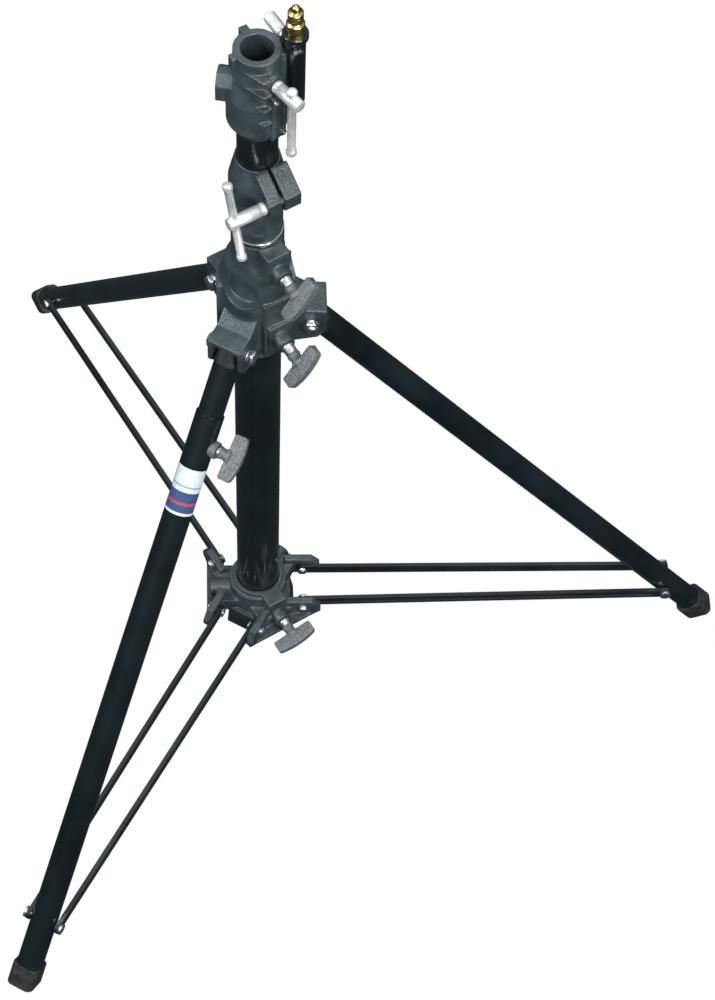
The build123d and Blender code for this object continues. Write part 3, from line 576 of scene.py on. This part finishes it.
def make_rings():
    """The polished ring on the column's top, and the swelling ring at the mouth of the side tube."""
    upright = Matrix.Identity(4)
    low, high = (corner[2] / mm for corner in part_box("column_top_ring"))
    chrome = open_ring("column_top_ring_polished", ring_of(24.3, 1.4, low, high, 20.62), upright)
    place_piece(chrome, "column_top_ring")
    low_corner, high_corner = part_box("side_tube_ring")
    centre = [(a + b) / 2 for a, b in zip(low_corner, high_corner)]
    matrix = Matrix.Translation(Vector((centre[0], centre[1], 0)))
    low, high = low_corner[2] / mm, high_corner[2] / mm
    profile = [(8.1, high - 0.6), (8.1, low), (9.1, low), (9.9, low + 0.8), (11.0, low + 2.6)]
    profile += [(11.3, low + 3.6), (11.3, high - 1.2), (10.9, high - 0.3), (10.2, high), (8.7, high)]
    place_piece(open_ring("side_tube_ring_turned", profile, matrix), "side_tube_ring")


make_rings()


def make_spigot():
    """The brass pin: full cylinder, waist, head with a chamfer and a short stud with turned grooves."""
    low_corner, high_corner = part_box("spigot")
    centre = [(a + b) / 2 for a, b in zip(low_corner, high_corner)]
    low, high = low_corner[2] / mm, high_corner[2] / mm
    pin = high - 20
    profile = [(7.2, low), (8, low + 1), (8, pin - 0.8), (7.7, pin - 0.1), (6.4, pin + 0.6), (5.5, pin + 1.6)]
    profile += [(5.4, pin + 4.4), (5.7, pin + 5.1), (6.4, pin + 5.6), (6.7, pin + 6.4), (6.7, pin + 9)]
    profile += [(6.4, pin + 9.3), (6.7, pin + 9.6), (6.7, pin + 12), (6.2, pin + 12.8), (3.9, pin + 13.1)]
    profile += [(3.6, pin + 13.6), (3.6, high - 2.4), (3.0, high - 1.6), (1.6, high)]
    matrix = Matrix.Translation(Vector((centre[0], centre[1], 0)))
    place_piece(turned_piece("spigot_turned", profile, matrix, 64), "spigot")


make_spigot()


def bar_profile(half, radius, knuckle, swell):
    """A loose bar with a swollen, rounded knuckle at each end."""
    end = [(1.6, half), (swell - 1.4, half - 0.2), (swell - 0.4, half - 0.9), (swell, half - 1.9)]
    end += [(swell, half - knuckle + 1.4), (swell - 0.4, half - knuckle + 0.5), (radius, half - knuckle)]
    return [(r, -h) for r, h in end] + [(r, h) for r, h in reversed(end)]


def sleeve_profile(tip, start, end):
    """The screw of a T-handle: thread, shoulder and the sleeve the bar slides through."""
    profile = [(3.2, tip), (3.9, tip + 1.2), (3.9, start), (5.2, start), (5.9, start + 0.7), (5.9, start + 4)]
    profile += [(5.5, start + 4.4), (5.5, start + 5.2), (5.9, start + 5.6)]
    profile += [(5.9, end - 1.0), (5.2, end - 0.2)]
    return profile + [(2.0, end)]


def make_handles():
    """The T-handles of the collar and the head, each a sleeved screw with a sliding bar."""
    sizes = {"collar": (-1, -14, 14.3, 52, 45, 0), "head": (1, -9.2, 0, 30.7, 20.2, -29.8)}
    for name, (way, tip, start, end, bar_at, centre) in sizes.items():
        screw, bar = joint_place(name + "_screw_turn"), joint_axis(name + "_bar_slide")
        outwards = joint_axis(name + "_screw_turn") * way
        screw_frame = frame_at(screw, bar, outwards)
        turned = turned_piece(name + "_screw_turned", sleeve_profile(tip, start, end), screw_frame)
        place_piece(turned, name + "_screw")
        middle = Vector(screw) + outwards * bar_at * mm + bar * centre * mm
        bar_frame = frame_at(middle, outwards, bar)
        rod = turned_piece(name + "_bar_turned", bar_profile(42, 3.8, 6.5, 4.7), bar_frame, 40)
        place_piece(rod, name + "_tommy_bar")


make_handles()


def make_label():
    """The wrapped print on the levelling leg: a thin shell with its own UV across and along."""
    low_end, top_end = 125.0, 175.0
    middle, reach = radians(70), radians(75)
    pivot, along = joint_place("front_leg_fold"), -joint_axis("level_slide")
    sideways = joint_axis("front_leg_fold")
    matrix = frame_at(pivot, sideways, along)
    columns, rows = 49, 12
    around = np.linspace(middle - reach, middle + reach, columns)
    down = np.linspace(low_end, top_end, rows)
    grid_turn, grid_down = np.meshgrid(around, down)
    radius = 14.3
    points = np.stack([radius * np.cos(grid_turn), radius * np.sin(grid_turn), grid_down], -1).reshape(-1, 3)
    faces = []
    for row in range(rows - 1):
        for column in range(columns - 1):
            corner = row * columns + column
            faces.append((corner, corner + 1, corner + columns + 1, corner + columns))
    label = make_mesh("leg_label_print", points, faces, matrix)
    layer = label.data.uv_layers.new(name="print")
    across = np.linspace(0, 1, columns)
    lengthwise = np.linspace(0, 1, rows)
    for loop in label.data.loops:
        row, column = divmod(loop.vertex_index, columns)
        layer.data[loop.index].uv = (across[column], lengthwise[row])
    place_piece(label, "leg_label")


make_label()


# ---------------------------------------------------------------- camera, light and backdrop
def aim(thing, place, target, roll=0.0):
    """Points an object's -Z at a target, rolled about that line by so many degrees."""
    forward = (Vector(target) - Vector(place)).normalized()
    turned = forward.to_track_quat("-Z", "Y").to_matrix().to_4x4()
    thing.matrix_world = Matrix.Translation(Vector(place)) @ turned @ Matrix.Rotation(radians(roll), 4, "Z")


def make_camera():
    camera = bpy.data.objects.new("camera", bpy.data.cameras.new("camera"))
    bpy.context.scene.collection.objects.link(camera)
    camera.data.lens = 97.0
    camera.data.clip_start = 0.05
    aim(camera, (0.712754, -1.274008, 2.694378), (0.154943, -0.083337, 0.5), 3.458)
    bpy.context.scene.camera = camera


def area_light(name, place, target, size, power, colour="#ffffff"):
    light = bpy.data.lights.new(name, "AREA")
    light.shape = "RECTANGLE"
    light.size, light.size_y = size
    light.energy = power
    light.color = linear(colour)[:3]
    lamp = bpy.data.objects.new(name, light)
    bpy.context.scene.collection.objects.link(lamp)
    aim(lamp, place, target)


def make_studio():
    """A white backdrop to the eye that lights the stand only faintly, and three soft boxes."""
    world = bpy.data.worlds.new("studio")
    bpy.context.scene.world = world
    world.use_nodes = True
    tree = world.node_tree
    room = tree.nodes["Background"]
    direction = add_node(tree, "ShaderNodeTexCoord").outputs["Generated"]
    slope = add_node(tree, "ShaderNodeSeparateXYZ", {"Vector": direction}).outputs["Z"]
    height = spread(tree, slope, 0.5, 1.0)
    walls = [(0.45, "#2e383b"), (0.56, "#4e5a5e"), (0.72, "#c4d2d7"), (1.0, "#eaf3f6")]
    tree.links.new(colour_ramp(tree, height, walls), room.inputs["Color"])
    room.inputs["Strength"].default_value = 0.7
    white = add_node(tree, "ShaderNodeBackground", {"Color": linear("#ffffff"), "Strength": 1.0})
    seen = add_node(tree, "ShaderNodeLightPath").outputs["Is Camera Ray"]
    both = add_node(tree, "ShaderNodeMixShader", {"Fac": seen})
    tree.links.new(room.outputs["Background"], both.inputs[1])
    tree.links.new(white.outputs["Background"], both.inputs[2])
    tree.links.new(both.outputs["Shader"], tree.nodes["World Output"].inputs["Surface"])
    area_light("key_softbox", (-1.9, -1.7, 2.4), (0, 0, 0.6), (0.5, 1.6), 90, "#f4fbff")
    area_light("fill_softbox", (2.4, -0.9, 1.6), (0, 0, 0.5), (0.35, 1.8), 55, "#f4fbff")
    area_light("top_softbox", (0.2, 0.3, 3.4), (0, 0, 0.6), (0.7, 0.7), 45)
    area_light("front_umbrella", (1.9, -1.9, 3.0), (0, 0, 0.6), (1.3, 1.3), 110)
    view = bpy.context.scene.view_settings
    view.view_transform = "Standard"


make_camera()
make_studio()

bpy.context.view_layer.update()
